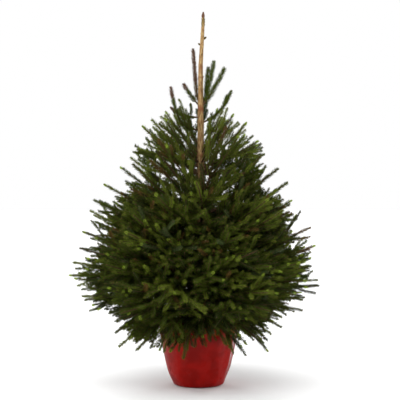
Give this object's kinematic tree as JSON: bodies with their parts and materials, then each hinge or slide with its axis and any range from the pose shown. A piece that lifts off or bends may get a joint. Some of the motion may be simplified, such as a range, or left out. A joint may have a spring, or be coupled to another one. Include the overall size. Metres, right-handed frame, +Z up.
{
  "type": "potted spruce",
  "caption": "Young spruce growing in a tapered glossy red pot: a bare leader above whorls of needled boughs that widen to the waist and droop over the rim.",
  "frame": {"origin": "centre of the pot's flat underside", "axes": "+Z up along the trunk, +X to the right as seen from the front, -Y towards the front"},
  "size_m": [0.9338, 0.9268, 1.4],
  "materials": {
    "pot": "glossy deep red, softly pleated",
    "soil": "matt dark compost",
    "trunk_bark": "matt tan young bark",
    "bough_bark": "matt brown bark",
    "needles": "satin dark green needles"
  },
  "bodies": {
    "root": {"pot": "pot", "soil": "soil", "trunk": "trunk_bark", "bough_foot_1": "bough_bark", "needles_foot_1": "needles", "bough_foot_2": "bough_bark", "needles_foot_2": "needles", "bough_foot_3": "bough_bark", "needles_foot_3": "needles", "bough_foot_4": "bough_bark", "needles_foot_4": "needles", "bough_foot_5": "bough_bark", "needles_foot_5": "needles", "bough_foot_6": "bough_bark", "needles_foot_6": "needles", "bough_skirt_1": "bough_bark", "needles_skirt_1": "needles", "bough_skirt_2": "bough_bark", "needles_skirt_2": "needles", "bough_skirt_3": "bough_bark", "needles_skirt_3": "needles", "bough_skirt_4": "bough_bark", "needles_skirt_4": "needles", "bough_skirt_5": "bough_bark", "needles_skirt_5": "needles", "needles_broad_1": "needles", "needles_broad_2": "needles", "needles_broad_3": "needles", "needles_broad_4": "needles", "needles_broad_5": "needles", "needles_flank_1": "needles", "needles_flank_2": "needles", "needles_flank_3": "needles", "needles_flank_4": "needles", "needles_flank_5": "needles", "needles_waist_1": "needles", "needles_waist_2": "needles", "needles_waist_3": "needles", "needles_waist_4": "needles", "needles_waist_5": "needles", "needles_shoulder_1": "needles", "needles_shoulder_2": "needles", "needles_shoulder_3": "needles", "needles_shoulder_4": "needles", "needles_neck_1": "needles", "needles_neck_2": "needles", "needles_neck_3": "needles", "needles_neck_4": "needles", "needles_crown_1": "needles", "needles_crown_2": "needles", "needles_crown_3": "needles", "needles_crown_4": "needles", "needles_upper_arm_right": "needles", "needles_upper_arm_left": "needles", "needles_upper_arm_back": "needles", "needles_upper_arm_tall": "needles", "needles_top_shoot_left": "needles", "needles_top_shoot_tall": "needles", "needles_top_shoot_right": "needles", "needles_top_shoot_inner": "needles"}
  },
  "joints": []
}
